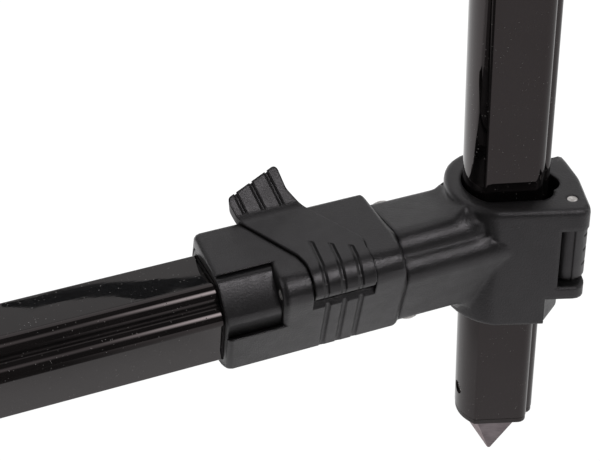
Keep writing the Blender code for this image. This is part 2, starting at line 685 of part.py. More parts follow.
def make_bar():
    """The bar: a grooved tube with a plug in each end."""
    near = CAP_THICKNESS + SEAT_GAP
    loops = [BAR.outline(0.0, 3), BAR.lining(BAR_WALL).outline(0.0, 2)]
    piece("bar_tube", prism("bar_tube", loops, near, BAR_LENGTH - near), BAR_ROOT, "tube", BAR_TURN)
    inner = BAR.lining(BAR_WALL).outline(-PLUG_FIT)
    for name, face, way in (("bar_far_plug", 0.0, 1.0), ("bar_inner_plug", BAR_LENGTH, -1.0)):
        ends = sorted((face, face + way * CAP_THICKNESS))
        plug = piece(name, prism(name, [BAR.outline(-0.0001, 2)], *ends), BAR_ROOT, "plug", BAR_TURN)
        start = face + way * CAP_THICKNESS
        plug_stem(plug, inner, start, start + way * PLUG_LENGTH, way)


def collar_outline():
    """The collar from above, about the leg's axis: round at the back, flat in front, with the lever's ear."""
    centre = Vector((OPENING.x, OPENING.y))
    normal = Vector((math.cos(COLLAR_FRONT_TURN), math.sin(COLLAR_FRONT_TURN)))
    along = Vector((-normal.y, normal.x))
    start = math.radians(88.0)
    end = COLLAR_FRONT_TURN + 2 * math.pi - math.acos(COLLAR_FRONT / COLLAR_RADIUS)
    corners = []
    for step in range(19):
        turn = start + (end - start) * step / 18
        aside = min(abs(turn - COLLAR_SWELL_TURN) / COLLAR_SWELL_HALF, 1.0)
        reach = COLLAR_RADIUS + COLLAR_SWELL * math.cos(aside * math.pi / 2) ** 2
        corners.append((centre.x + reach * math.cos(turn), centre.y + reach * math.sin(turn)))
    radii = [0.0] * len(corners)
    corners.append(tuple(centre + normal * COLLAR_FRONT + along * COLLAR_FRONT_RUN))
    corners += [(0.0209, -0.0080), (0.0230, 0.0088), (0.0157, 0.0180)]
    radii += [0.0035, 0.020, 0.004, 0.006]
    return rounded(corners, radii, 4)


def under_ear():
    """What is cut below the ear to leave the lower ring."""
    corners = [(0.0042, -0.0300), (0.0042, -0.0205), (0.0135, -0.0135), (0.0175, 0.0), (0.0160, 0.0120),
               (0.0090, 0.0180), (0.0130, 0.0300), (0.0400, 0.0300), (0.0400, -0.0300)]
    return rounded(corners, [0.0, 0.003, 0.006, 0.012, 0.006, 0.0, 0.0, 0.0, 0.0], 4)


def arm_skin():
    """The arm: the grooved section run into the collar with a smooth blend."""
    base = BAR.outline(ARM_GROW, 2)
    angles = [math.atan2(y, z) for y, z in base]
    floor = np.array([math.hypot(y, z) for y, z in base])
    unit = np.array([(math.sin(a), math.cos(a)) for a in angles])
    collar = collar_outline()
    turn = np.array(BAR_TURN.to_3x3())
    middle = (COLLAR_TOP - COLLAR_BOTTOM) / 2
    half = (COLLAR_TOP + COLLAR_BOTTOM) / 2

    def to_collar(spots):
        """Distance to the collar's solid."""
        aside = outline_distance(spots[:, :2], collar)
        above = np.abs(spots[:, 2] - middle) - half
        outside = np.hypot(np.maximum(aside, 0.0), np.maximum(above, 0.0))
        return outside + np.minimum(np.maximum(aside, above), 0.0)

    def to_world(x, flat):
        """Points of one section in the head's frame."""
        return np.column_stack((np.full(len(flat), x), flat)) @ turn.T

    def slopes(measure, spots):
        """Unit direction in which a distance grows."""
        tiny = 0.00005
        rows = [measure(spots + step) - measure(spots - step) for step in np.eye(spots.shape[1]) * tiny]
        grown = np.column_stack(rows)
        return grown / np.maximum(np.linalg.norm(grown, axis=1, keepdims=True), 1e-12)

    def merged(x, reach):
        """Distance to the arm and collar together, blended where they meet at an angle."""
        flat = unit * reach[:, None]
        own = outline_distance(flat, base)
        spots = to_world(x, flat)
        other = to_collar(spots)
        arm_way = slopes(lambda p: outline_distance(p, base), flat)
        arm_way = np.column_stack((np.zeros(len(flat)), arm_way)) @ turn.T
        facing = (arm_way * slopes(to_collar, spots)).sum(1)
        width = ARM_BLEND * np.clip(1.0 - facing, 0.01, 1.0)
        close = np.maximum(width - np.abs(own - other), 0.0)
        return np.minimum(own, other) - close ** 2 / (4 * width)

    def grown(test, limit):
        """Largest reach per ray that a test still calls inside."""
        low = floor.copy()
        high = floor + limit
        for _ in range(22):
            guess = (low + high) / 2
            inside = test(guess)
            low = np.where(inside, guess, low)
            high = np.where(inside, high, guess)
        return low

    stations = [(-ARM_REACH, floor)]
    held = floor
    steps = 14
    for step in range(steps + 1):
        x = -ARM_BLEND_REACH + (ARM_BLEND_REACH - ARM_ROOT) * step / steps
        free = to_collar(to_world(x, unit * floor[:, None])) > 0.0
        open_reach = grown(lambda r: merged(x, r) < 0.0, 0.0050)
        wall = grown(lambda r: to_collar(to_world(x, unit * r[:, None])) < 0.0, 0.0200) - 0.0004
        held = np.where(free, open_reach, np.maximum(floor, np.minimum(held, wall)))
        stations.append((x, held))
    return loft("head_body", [(x, [tuple(p) for p in (unit * r[:, None]).tolist()]) for x, r in stations])


def make_head():
    """The head moulding: arm, collar, ear and ring, cut for the leg, the housing and the leg's clamp."""
    skin = arm_skin()
    skin.transform(BAR_TURN)
    head = piece("head_body", skin, HEAD_ROOT, "moulding")
    collar = soft_slab("collar", collar_outline(), -COLLAR_BOTTOM, COLLAR_TOP, COLLAR_EDGE, COLLAR_FOOT_EDGE)
    tool(head, collar, "UNION")
    tool(head, slab("under_ear", [under_ear()], -COLLAR_BOTTOM - CUT_PAST, -EAR_BOTTOM), "DIFFERENCE")
    opening = prism("opening", [LEG.outline(LEG_OPENING_FIT, 2)], -COLLAR_TOP - CUT_PAST, COLLAR_BOTTOM + CUT_PAST)
    tool(head, opening, "DIFFERENCE", Matrix.Translation(OPENING) @ LEG_TURN)
    tool(head, prism("socket", [BAR.outline(0.0001)], -ARM_REACH - CUT_PAST, -ARM_SOCKET), "DIFFERENCE", BAR_TURN)
    cut_clamp(head, LEG_LEVER_X, LEG_PIN_HEIGHT, LEG_TURN, LEG_SLOT_GAP, LEG_POCKET_GAP, LEG_SLOT_LIP, LEG)
    above = -COLLAR_TOP - CUT_PAST
    hole = rod("leg_pin_hole", PIN_RADIUS + PIN_FIT, above, EAR_BOTTOM + CUT_PAST, PIN_SIDE, LEG_PIN_HEIGHT)
    tool(head, hole, "DIFFERENCE", LEG_TURN)
    for angle in SCREW_ANGLES:
        seat = BAR_TURN @ radial_place(SCREW_X, angle)
        tool(head, rod("screw_bore", SCREW_RADIUS + 0.0002, 0.010, 0.030), "DIFFERENCE", seat)


def make_housing():
    """The clamp housing with its spigot, cut for the bar, the liner and the lever."""
    housing = piece("clamp_housing", housing_skin(), HEAD_ROOT, "moulding", BAR_TURN)
    spigot = prism("spigot", [BAR.outline(-0.0002)], HOUSING_END - 0.006, HOUSING_END + SPIGOT_LENGTH)
    tool(housing, spigot, "UNION")
    tool(housing, rod("spigot_bore", SPIGOT_BORE, SOCKET_END - CUT_PAST, HOUSING_END + SPIGOT_LENGTH + CUT_PAST), "DIFFERENCE")
    tool(housing, prism("bar_bore", [BAR.outline(TUBE_FIT)], HOUSING_START - CUT_PAST, SOCKET_END), "DIFFERENCE")
    mouth_end = HOUSING_START + LINER_LENGTH + SEAT_GAP
    mouth = prism("liner_seat", [liner_outline(SEAT_GAP)], HOUSING_START - CUT_PAST, mouth_end)
    tool(housing, mouth, "DIFFERENCE")
    still = Matrix.Identity(4)
    cut_clamp(housing, BAR_LEVER_X, BAR_PIN_HEIGHT, still, LEVER_GAP, LEVER_GAP, BAR_SLOT_LIP, BAR)
    end = BAR_LEVER_X + BARREL_LENGTH / 2 + PIN_BLIND + 0.0002
    hole = rod("bar_pin_hole", PIN_RADIUS + PIN_FIT, HOUSING_START, end, PIN_SIDE, BAR_PIN_HEIGHT)
    tool(housing, hole, "DIFFERENCE")
    for index in range(GRIP_GROOVES):
        x = BAR_LEVER_X - GRIP_GROOVE_LEAD + GRIP_GROOVE_PITCH * index
        place = Matrix.Translation((x, 0.0, 0.0)) @ Matrix.Rotation(-HOUSING_FRONT_ANGLE, 4, "X")
        turn = Matrix.Translation((0.0, 0.0, HOUSING_FRONT + 0.0001)) @ Matrix.Rotation(-math.pi / 2, 4, "Z")
        groove = rod("grip_groove", GRIP_GROOVE_RADIUS, -0.0135, 0.020, sides=12)
        tool(housing, groove, "DIFFERENCE", place @ turn)
    for angle in SCREW_ANGLES:
        hole = rod("screw_hole", SCREW_RADIUS + 0.0001, 0.005, 0.020)
        tool(housing, hole, "DIFFERENCE", radial_place(SCREW_X, angle))


def make_liner():
    """The liner in the mouth of the socket, bare at the front of the step."""
    loops = [liner_outline(), BAR.outline(TUBE_FIT, 2)]
    mesh = prism("socket_liner", loops, HOUSING_START + SEAT_GAP, HOUSING_START + LINER_LENGTH)
    piece("socket_liner", mesh, HEAD_ROOT, "moulding", BAR_TURN)


def make_screw(name, angle):
    """A dome-headed screw through the arm into the spigot."""
    seat = BAR_TURN @ radial_place(SCREW_X, angle)
    flat = BAR_RADIUS + ARM_GROW
    low = flat + 0.0001
    mesh = rod(name, SCREW_HEAD_RADIUS, low, low + SCREW_HEAD * 0.6)
    screw = piece(name, mesh, HEAD_ROOT, "steel", seat)
    dome = rod("dome", SCREW_HEAD_RADIUS, low + SCREW_HEAD * 0.5, low + SCREW_HEAD,
               end_radius=SCREW_HEAD_RADIUS * 0.7)
    tool(screw, dome, "UNION")
    tool(screw, rod("shank", SCREW_RADIUS, flat - SCREW_LENGTH, flat + 0.0005, sides=16), "UNION")
    cut = low + SCREW_HEAD * 0.45
    for wide, tall in ((0.0003, 0.0016), (0.0016, 0.0003)):
        tool(screw, block("cross", (cut, -wide, -tall), (0.030, wide, tall)), "DIFFERENCE")


def make_pins():
    """The two lever pins."""
    end = BAR_LEVER_X + BARREL_LENGTH / 2 + PIN_BLIND
    mesh = rod("bar_lever_pin", PIN_RADIUS, STEP_X + 0.0001, end, PIN_SIDE, BAR_PIN_HEIGHT)
    piece("bar_lever_pin", mesh, HEAD_ROOT, "steel", BAR_TURN)
    mesh = rod("leg_lever_pin", PIN_RADIUS, -COLLAR_TOP + 0.0001, EAR_BOTTOM + 0.0008, PIN_SIDE, LEG_PIN_HEIGHT)
    piece("leg_lever_pin", mesh, HEAD_ROOT, "steel", LEG_TURN)


def make_leg():
    """The leg: a grooved tube with a cap on top and a pinned spike below."""
    top = LEG_FOOT - LEG_LENGTH
    loops = [LEG.outline(0.0, 3), LEG.lining(LEG_WALL).outline(0.0, 2)]
    tube = piece("leg_tube", prism("leg_tube", loops, top, LEG_FOOT), LEG_ROOT, "tube", LEG_TURN)
    inner = LEG.lining(LEG_WALL).outline(-PLUG_FIT)
    mesh = prism("leg_top_cap", [LEG.outline(CAP_GROW, 2)], top - CAP_THICKNESS - SEAT_GAP, top - SEAT_GAP)
    cap = piece("leg_top_cap", mesh, LEG_ROOT, "plug", LEG_TURN)
    plug_stem(cap, inner, top - SEAT_GAP, top + PLUG_LENGTH, 1.0)
    foot = LEG_FOOT + SEAT_GAP
    mesh = prism("leg_spike", [LEG.outline(SPIKE_FLANGE_GROW, 2)], foot, foot + SPIKE_FLANGE)
    spike = piece("leg_spike", mesh, LEG_ROOT, "spike", LEG_TURN)
    tool(spike, prism("stem", [inner], LEG_FOOT - SPIKE_PLUG, foot + 0.0005), "UNION")
    base = (LEG_FLAT + SPIKE_FLANGE_GROW - SPIKE_INSET) / math.cos(math.pi / SPIKE_SIDES)
    rings = []
    for x, radius in ((0.0, base), (SPIKE_FLANGE, base), (SPIKE_FLANGE + SPIKE_HEIGHT, SPIKE_TIP)):
        turns = [math.pi * (2 * side + 1) / SPIKE_SIDES for side in range(SPIKE_SIDES)]
        rings.append((foot + x, [(radius * math.sin(turn), radius * math.cos(turn)) for turn in turns]))
    tool(spike, loft("point", [(rings[0][0] + SPIKE_FLANGE / 2, rings[0][1])] + rings[1:]), "UNION")
    across = radial_place(LEG_FOOT - SPIKE_PIN_RISE, SPIKE_PIN_TURN)
    for target in (spike, tube):
        tool(target, rod("pin_hole", SPIKE_PIN_RADIUS + PIN_FIT, -0.02, 0.02), "DIFFERENCE", across)
    mesh = rod("spike_pin", SPIKE_PIN_RADIUS, -SPIKE_PIN_FRONT, SPIKE_PIN_BACK)
    pin = piece("spike_pin", mesh, LEG_ROOT, "steel", LEG_TURN @ across)
    tool(pin, rod("pin_bore", SPIKE_PIN_BORE, -0.02, 0.02, sides=16), "DIFFERENCE")
    tool(pin, block("pin_slit", (-0.02, -0.0003, 0.0), (0.02, 0.0003, 0.004)), "DIFFERENCE")


for item in list(bpy.data.objects):
    bpy.data.objects.remove(item, do_unlink=True)
PARTS = bpy.data.collections.new("rod_pod_corner")
CUTTERS = bpy.data.collections.new("cutters")
for group in (PARTS, CUTTERS):
    bpy.context.scene.collection.children.link(group)
CUTTERS.hide_render = True

FINISHES = {
    "tube": material("tube_metal", (0.012, 0.012, 0.013), 0.22, 0.0),
    "moulding": material("black_moulding", (0.016, 0.016, 0.017), 0.55, 0.0),
    "plug": material("plug_plastic", (0.020, 0.020, 0.021), 0.6, 0.0),
    "shoe": material("shoe_plastic", (0.030, 0.030, 0.032), 0.5, 0.0),
    "rubber": material("pad_rubber", (0.015, 0.015, 0.015), 0.85, 0.0),
    "steel": material("pin_steel", (0.55, 0.55, 0.56), 0.3, 1.0),
    "spike": material("spike_metal", (0.030, 0.030, 0.032), 0.4, 0.0),
}

BAR_ROOT = empty("bar", (0.0, 0.0, 0.0))
HEAD_ROOT = empty("head", (HEAD_X, 0.0, 0.0))
LEG_ROOT = empty("leg", (HEAD_X, 0.0, 0.0))

make_bar()
make_head()
make_housing()
make_liner()
make_pins()
make_screw("arm_screw_front", SCREW_ANGLES[0])
make_screw("arm_screw_rear", SCREW_ANGLES[1])
make_lever("bar_lever", BAR_TURN @ lever_place(BAR_LEVER_X, BAR_PIN_HEIGHT))
make_lever("leg_lever", LEG_TURN @ lever_place(LEG_LEVER_X, LEG_PIN_HEIGHT))
make_shoe("bar_shoe", BAR, BAR_PIN_HEIGHT, BAR_TURN @ Matrix.Translation((BAR_LEVER_X, 0.0, 0.0)))
make_shoe("leg_shoe", LEG, LEG_PIN_HEIGHT, LEG_TURN @ Matrix.Translation((LEG_LEVER_X, 0.0, 0.0)))
make_leg()
bpy.context.view_layer.update()
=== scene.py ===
"""Looks for the corner of a rod pod: finishes, light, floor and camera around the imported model."""
import json
import math

import bpy
from mathutils import Matrix, Vector

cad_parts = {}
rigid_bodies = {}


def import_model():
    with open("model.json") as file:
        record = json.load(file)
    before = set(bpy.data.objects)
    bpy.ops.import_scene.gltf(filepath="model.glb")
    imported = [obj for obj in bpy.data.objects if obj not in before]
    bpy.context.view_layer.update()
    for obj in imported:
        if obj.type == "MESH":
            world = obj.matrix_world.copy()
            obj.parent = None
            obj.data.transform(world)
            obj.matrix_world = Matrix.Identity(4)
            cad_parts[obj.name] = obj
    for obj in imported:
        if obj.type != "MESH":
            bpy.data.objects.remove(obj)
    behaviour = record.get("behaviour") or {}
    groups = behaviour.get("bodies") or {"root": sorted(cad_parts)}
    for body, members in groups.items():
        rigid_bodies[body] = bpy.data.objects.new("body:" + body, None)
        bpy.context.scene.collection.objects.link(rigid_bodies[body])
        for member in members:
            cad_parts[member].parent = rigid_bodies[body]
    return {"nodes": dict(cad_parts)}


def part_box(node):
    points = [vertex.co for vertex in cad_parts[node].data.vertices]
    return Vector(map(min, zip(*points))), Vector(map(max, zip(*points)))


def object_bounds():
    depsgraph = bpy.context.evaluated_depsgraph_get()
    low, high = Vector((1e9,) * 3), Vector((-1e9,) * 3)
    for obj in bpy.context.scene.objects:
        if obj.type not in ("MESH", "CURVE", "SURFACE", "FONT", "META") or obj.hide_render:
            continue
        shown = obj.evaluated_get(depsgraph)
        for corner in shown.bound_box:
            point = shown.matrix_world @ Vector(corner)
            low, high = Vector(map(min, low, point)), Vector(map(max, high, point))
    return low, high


# Camera: where it stands, which way it looks, its lens and the width of its picture in mm
CAMERA_PLACE = (0.1845, -0.2848, 0.2297)
CAMERA_AZIMUTH = -18.33
CAMERA_ELEVATION = 35.11
CAMERA_ROLL = -3.0
CAMERA_LENS = 77.44
CAMERA_WIDTH = 36.0

# Studio: each radiance is as the object sees it
STUDIO_MIDDLE = (0.28, 0.0, 0.0)            # what the lamps face
# For each lamp: azimuth, elevation and distance from there, then width, height and radiance
LAMPS = {
    "key": (10, 50, 1.3, 0.55, 0.95, 8.2),
    "back": (165, 20, 1.6, 2.8, 0.56, 0.33),
    "upper": (165, 53, 1.6, 2.4, 1.10, 0.76),
    "sweep": (168, 5.5, 1.8, 3.0, 0.32, 0.70),
    "side_left": (-100, 18, 1.5, 0.5, 1.4, 1.4),
    "side_right": (80, 18, 1.5, 0.6, 1.4, 1.4),
}
KEY_LEFT = 0.12                             # the key's strength at its left end
KEY_RIGHT = 1.6                             # and at its right end
KEY_FADE = (0.30, 0.80)                     # where across its width the one becomes the other
KEY_SOFTNESS = 2.0                          # how fast the key falls off to its upper and lower edge
ROOM_LEVEL = 0.12                           # the world's strength in all but the camera's eye

# Floor: its white as the camera sees it, and its glow in reflections, which is painted light: painted shade
# to the front left and painted pools of light elsewhere
FLOOR_GLOW = 0.97                           # share of glow in what is seen directly
FLOOR_SEEN = 1.06                           # to the camera
FLOOR_DIM = 0.10                            # in reflections, at the dark end of each fade
FLOOR_LIT = 0.80
FLOOR_UNDER = 0.66
FLOOR_BEHIND = 1.10
FLOOR_FADES = {                             # axis, where the dark ends, where the light starts, its level
    "left": ("X", 0.205, 0.285, FLOOR_LIT),
    "under": ("Y", -0.060, -0.022, FLOOR_UNDER),
    "behind": ("Y", 0.03, 0.12, FLOOR_BEHIND),
    "front": ("Y", -0.55, -0.40, FLOOR_LIT),
}
FLOOR_WHITE = (0.86, 0.86, 0.86, 1.0)
FLOOR_GAP = 0.0004                          # between the spike's point and the floor
FLOOR_HALF = 3.0                            # half the floor's width

# Flag: its place as seen from the studio's middle, and its outline sideways and upwards from there
FLAG_AZIMUTH = 165
FLAG_ELEVATION = 34
FLAG_DISTANCE = 1.2
FLAG_GREY = (0.10, 0.11, 0.12, 1.0)
FLAG_LOW = (
    (-0.370, -0.3310), (-0.329, -0.3320), (-0.299, -0.3365), (-0.256, -0.3375), (-0.228, -0.3350),
    (-0.200, -0.3300), (-0.172, -0.3280), (-0.143, -0.3240), (-0.115, -0.3230), (-0.060, -0.3220))
FLAG_HIGH = (
    (-0.060, -0.3070), (-0.125, -0.3070), (-0.152, -0.3080), (-0.175, -0.3000), (-0.203, -0.3045),
    (-0.230, -0.3145), (-0.258, -0.3185), (-0.300, -0.3195), (-0.330, -0.3170), (-0.370, -0.3270))

# Finishes: tint and level of the gloss, and colours
LACQUER_TINT = (1.0, 0.86, 0.87, 1.0)
LACQUER_SPECULAR = 0.5
LACQUER_DARK = (0.0024, 0.0022, 0.0022)
LACQUER_PALE = (0.0052, 0.0046, 0.0045)
LACQUER_SPECK = (0.15, 0.145, 0.14)
NYLON_TINT = (1.0, 0.95, 0.99, 1.0)
NYLON_SPECULAR = 0.6
NYLON_DUST = (0.12, 0.115, 0.11)
STEEL_DARK = (0.60, 0.57, 0.55)
STEEL_PALE = (0.95, 0.92, 0.90)
POINT_DARK = (0.100, 0.097, 0.104)          # blackened steel of the spike's point
POINT_PALE = (0.145, 0.140, 0.148)
POINT_TIP_DARK = (0.070, 0.068, 0.071)          # and near its tip
RUBBER_DARK = (0.010, 0.010, 0.010)
RUBBER_PALE = (0.024, 0.023, 0.022)
WHITE = (1.0, 1.0, 1.0, 1.0)
CLOTH_ROUGHNESS = 0.9                       # of the flag and the floor

# Edge softening of the solids: weld distance and edge widths
WELD = 0.00001
SOFT_EDGE = 0.00022
PIN_EDGE = 0.00012
SHARP_ANGLE = math.radians(28)              # edges sharper than this are rounded

# Where shading follows the form: the spike, the groove, the liner and the rounded edges
SPIKE_POINT = 0.0202                        # height of the spike's point
SPIKE_LINE = 0.00015                        # half the width of the line between its lacquer and bare steel
TIP_DARK_FROM = 0.006                       # height at which the tip starts to darken
TIP_DARK_TO = 0.001                         # and below which all of it is at its darkest
BAR_GROOVE = (0.0, -0.0118, 0.0097)         # bottom of the bar's groove, rougher there from dust, and with weaker gloss as painted shade
GROOVE_NEAR = 0.0007                        # full dullness up to this far from there
GROOVE_FAR = 0.0015                         # and none from here on
LINER_ACROSS = (0.0, 0.6361, 0.7716)        # across the liner's bare face
LINER_TOP = 0.0040                          # where the liner's face starts to fall away
LINER_CROWN = 0.030                         # radius of the arc in which it does
ROUNDED_EDGE = 0.0008                       # radius at which the mouldings' edges catch the light
HEAD_EDGE = 0.0018                          # the same for the head, whose arm runs out in the collar

# The bar lever's frame at its pin and the troughs round its grooves
LEVER_PIN = (0.2841, -0.01818, 0.01253)
LEVER_TURN = math.radians(0.5)
TAB_ANGLE = math.radians(40.0)
TAB_FOOT = (0.030857, 0.007704)             # where the tab's face starts, along and out of the plate
TROUGH_HALF = 0.0010
TROUGH_FLAT = 0.0002
TROUGH_DEPTH = 0.0005
TROUGH_END = 0.0008                         # length over which a trough runs out at its lower end
TROUGH_START = 0.0006                       # and at its upper end
# Grooves of the plate and of the tab: the first one's place across them, then their pitch and slant,
# where the first one ends, how much further each next one does, and where all start
PLATE_GROOVES = (-0.0054, 0.0051, -0.087, 0.0122, 0.0030, -0.012)
TAB_GROOVES = (-0.0176, 0.0057, 0.176, 0.0142, 0.0, -0.0004)

SHADER = "ShaderNode"

for thing in list(bpy.data.objects):
    bpy.data.objects.remove(thing)

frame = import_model()
CAD_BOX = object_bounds()
NODES = frame["nodes"]


class Graph:
    """One shader tree, with short ways to add and join its nodes."""

    def __init__(self, tree):
        self.tree = tree

    def add(self, kind, **settings):
        node = self.tree.nodes.new(SHADER + kind)
        for key, value in settings.items():
            setattr(node, key, value)
        return node

    def join(self, source, target):
        self.tree.links.new(source, target)

    def apart(self, vector):
        """The three outputs of a vector socket."""
        node = self.add("SeparateXYZ")
        self.join(vector, node.inputs["Vector"])
        return node.outputs

    def spread(self, source, low, high, out_low=0.0, out_high=1.0):
        """Source from low to high becomes out_low to out_high, smoothly and clamped."""
        node = self.add("MapRange", interpolation_type="SMOOTHSTEP")
        names = ("From Min", "From Max", "To Min", "To Max")
        for name, value in zip(names, (low, high, out_low, out_high)):
            node.inputs[name].default_value = value
        self.join(source, node.inputs["Value"])
        return node.outputs["Result"]

    def math(self, operation, first, second):
        """The result of a math node; first and second are numbers or sockets."""
        node = self.add("Math", operation=operation)
        for socket, value in zip(node.inputs, (first, second)):
            if isinstance(value, (int, float)):
                socket.default_value = value
            else:
                self.join(value, socket)
        return node.outputs["Value"]

    def vector_math(self, operation, vector, constant):
        """A vector math node that takes a socket and a constant vector."""
        node = self.add("VectorMath", operation=operation)
        node.inputs[1].default_value = constant
        self.join(vector, node.inputs[0])
        return node

    def mix_shaders(self, factor, first, second, out):
        """Sends first where factor is 0, and second where it's 1, to the surface of the node out."""
        node = self.add("MixShader")
        for socket, source in zip(node.inputs, (factor, first, second)):
            self.join(source, socket)
        self.join(node.outputs["Shader"], out.inputs["Surface"])


class Finish(Graph):
    """One procedural material on a Principled shader, placed by the object's own coordinates."""

    def __init__(self, name):
        self.material = bpy.data.materials.new(name)
        self.material.use_nodes = True
        super().__init__(self.material.node_tree)
        self.shader = self.tree.nodes["Principled BSDF"]
        self.place = self.add("TexCoord").outputs["Object"]

    def preset(self, **values):
        """Sets constants on the shader's own sockets, whose names have _ for a space."""
        for key, value in values.items():
            self.shader.inputs[key.replace("_", " ")].default_value = value

    def stretched(self, stretch):
        """The place on the object, stretched by three factors."""
        mapping = self.add("Mapping")
        mapping.inputs["Scale"].default_value = stretch
        self.join(self.place, mapping.inputs["Vector"])
        return mapping.outputs["Vector"]

    def noise(self, size, detail=3.0, roughness=0.55, place=None):
        """Noise whose lumps are about size metres across."""
        node = self.add("TexNoise")
        node.inputs["Scale"].default_value = 1.0 / size
        node.inputs["Detail"].default_value = detail
        node.inputs["Roughness"].default_value = roughness
        self.join(place or self.place, node.inputs["Vector"])
        return node.outputs["Fac"]

    def cells(self, size):
        """Distance to the middle of the nearest cell, 0 there and about 0.5 between cells."""
        node = self.add("TexVoronoi", feature="F1")
        node.inputs["Scale"].default_value = 1.0 / size
        self.join(self.place, node.inputs["Vector"])
        return node.outputs["Distance"]

    def mix(self, factor, first, second):
        """A colour between first and second, each a colour or a socket."""
        node = self.add("Mix", data_type="RGBA")
        self.join(factor, node.inputs["Factor"])
        for socket, value in zip((node.inputs[6], node.inputs[7]), (first, second)):
            if isinstance(value, tuple):
                socket.default_value = (*value, 1.0)
            else:
                self.join(value, socket)
        return node.outputs[2]

    def colour(self, source):
        self.join(source, self.shader.inputs["Base Color"])

    def rough(self, source):
        self.join(source, self.shader.inputs["Roughness"])

    def raised(self, height, distance, under=None):
        """A bump of the height socket; distance is the height in metres of a value of 1."""
        node = self.add("Bump")
        node.inputs["Strength"].default_value = 1.0
        node.inputs["Distance"].default_value = distance
        self.join(height, node.inputs["Height"])
        if under is not None:
            self.join(under, node.inputs["Normal"])
        self.join(node.outputs["Normal"], self.shader.inputs["Normal"])
        return node.outputs["Normal"]


def tube_finish():
    """Gloss black lacquer on the tubes: faint draw lines and pale dust, and in the bar's groove rougher from
    dust and with a weaker gloss that is painted shade.
    """
    f = Finish("tube_gloss_black")
    f.preset(Specular_Tint=LACQUER_TINT)
    cloud = f.noise(0.018, 4.0)
    lively = f.noise(0.006, 2.0)
    speck = f.math("MULTIPLY", f.spread(f.cells(0.0012), 0.16, 0.06), f.spread(lively, 0.43, 0.60))
    body = f.mix(f.spread(cloud, 0.35, 0.65), LACQUER_DARK, LACQUER_PALE)
    f.colour(f.mix(speck, body, LACQUER_SPECK))

    section = f.vector_math("MULTIPLY", f.place, (0.0, 1.0, 1.0)).outputs["Vector"]
    off = f.vector_math("DISTANCE", section, BAR_GROOVE).outputs["Value"]
    # The weaker gloss in the bar's groove is painted shade, where the groove's walls would hide the key's
    # reflection.
    specular = f.spread(off, GROOVE_NEAR, GROOVE_FAR, 0.12, LACQUER_SPECULAR)
    f.join(specular, f.shader.inputs["Specular IOR Level"])
    dull = f.spread(off, GROOVE_FAR, GROOVE_NEAR, 0.0, 0.42)
    smear = f.noise(0.012, 3.0, 0.6)
    f.rough(f.math("MAXIMUM", dull, f.spread(smear, 0.35, 0.7, 0.010, 0.030)))

    drawn = f.noise(0.0016, 2.0, 0.5, f.stretched((0.06, 1.0, 0.06)))
    f.raised(speck, 0.00003, f.raised(drawn, 0.000001))
    return f.material


def lever_troughs(f):
    """Soft troughs round the grooves of the bar's lever: 0 outside, -1 along their middles."""
    shifted = f.vector_math("SUBTRACT", f.place, LEVER_PIN).outputs["Vector"]
    turned = f.add("Mapping")
    turned.inputs["Rotation"].default_value = (-LEVER_TURN, 0.0, 0.0)
    f.join(shifted, turned.inputs["Vector"])
    parts = f.apart(turned.outputs["Vector"])
    x, y, z = (parts[axis] for axis in "XYZ")
    along_tab = f.math("ADD", f.math("MULTIPLY", f.math("SUBTRACT", y, TAB_FOOT[0]), math.cos(TAB_ANGLE)),
                       f.math("MULTIPLY", f.math("SUBTRACT", z, TAB_FOOT[1]), math.sin(TAB_ANGLE)))
    fields = []
    for along, grooves in ((y, PLATE_GROOVES), (along_tab, TAB_GROOVES)):
        first, pitch, slant, first_end, step, start = grooves
        across = f.math("SUBTRACT", f.math("ADD", x, f.math("MULTIPLY", along, slant)), first)
        past_first = f.math("ADD", along, f.math("MULTIPLY", across, step / pitch))
        to_end = f.math("SUBTRACT", first_end, past_first)
        field = f.spread(f.math("PINGPONG", across, pitch / 2), TROUGH_HALF, TROUGH_FLAT)
        for source, outside, inside in (
                (across, -pitch * 0.5, -pitch * 0.4), (across, pitch * 2.5, pitch * 2.4),
                (to_end, 0.0, TROUGH_END), (along, start - TROUGH_START, start)):
            field = f.math("MULTIPLY", field, f.spread(source, outside, inside))
        fields.append(field)
    return f.math("MULTIPLY", f.math("MAXIMUM", *fields), -1.0)


def liner_crown(f):
    """Height of the liner's bare face, which falls away from its upper edge as an arc."""
    across = f.vector_math("DOT_PRODUCT", f.place, LINER_ACROSS).outputs["Value"]
    fall = f.math("MAXIMUM", f.math("SUBTRACT", LINER_TOP, across), 0.0)
    return f.math("MULTIPLY", f.math("MULTIPLY", fall, fall), -0.5 / LINER_CROWN)


def moulding_finish(name, grain=0.00040, depth=0.000068, level=0.007, gloss=(0.32, 0.40),
                    relief=None, rise=1.0, round_edge=ROUNDED_EDGE):
    """Black nylon with a fine spark grain, faint mottling and a little dust.

    grain and depth are the grain's width and height, level its blackness and gloss its roughness.
    relief gives the height of a soft form under the grain, in units of rise.
    """
    f = Finish(name)
    f.preset(Specular_IOR_Level=NYLON_SPECULAR, Specular_Tint=NYLON_TINT)
    cloud = f.noise(0.014, 4.0)
    fine = f.noise(grain, 2.0, 0.6)
    dark = (level * 0.72, level * 0.70, level * 0.72)
    pale = (level * 1.25, level * 1.22, level * 1.24)
    glint = (level * 2.6, level * 2.6, level * 2.7)
    body = f.mix(f.spread(cloud, 0.3, 0.7), dark, pale)
    body = f.mix(f.spread(fine, 0.58, 0.72), body, glint)
    dust = f.math("MULTIPLY", f.spread(f.cells(0.0032), 0.055, 0.02),
                  f.spread(f.noise(0.010, 1.0), 0.55, 0.62))
    f.colour(f.mix(dust, body, NYLON_DUST))
    f.rough(f.spread(f.noise(0.004, 3.0), 0.3, 0.7, *gloss))

    edge = f.add("Bevel", samples=6)
    edge.inputs["Radius"].default_value = round_edge
    under = edge.outputs["Normal"]
    if relief is not None:
        under = f.raised(relief(f), rise, under)
    pit = f.cells(grain * 1.4)
    f.raised(f.math("ADD", fine, f.math("MULTIPLY", pit, 0.6)), depth, under)
    return f.material


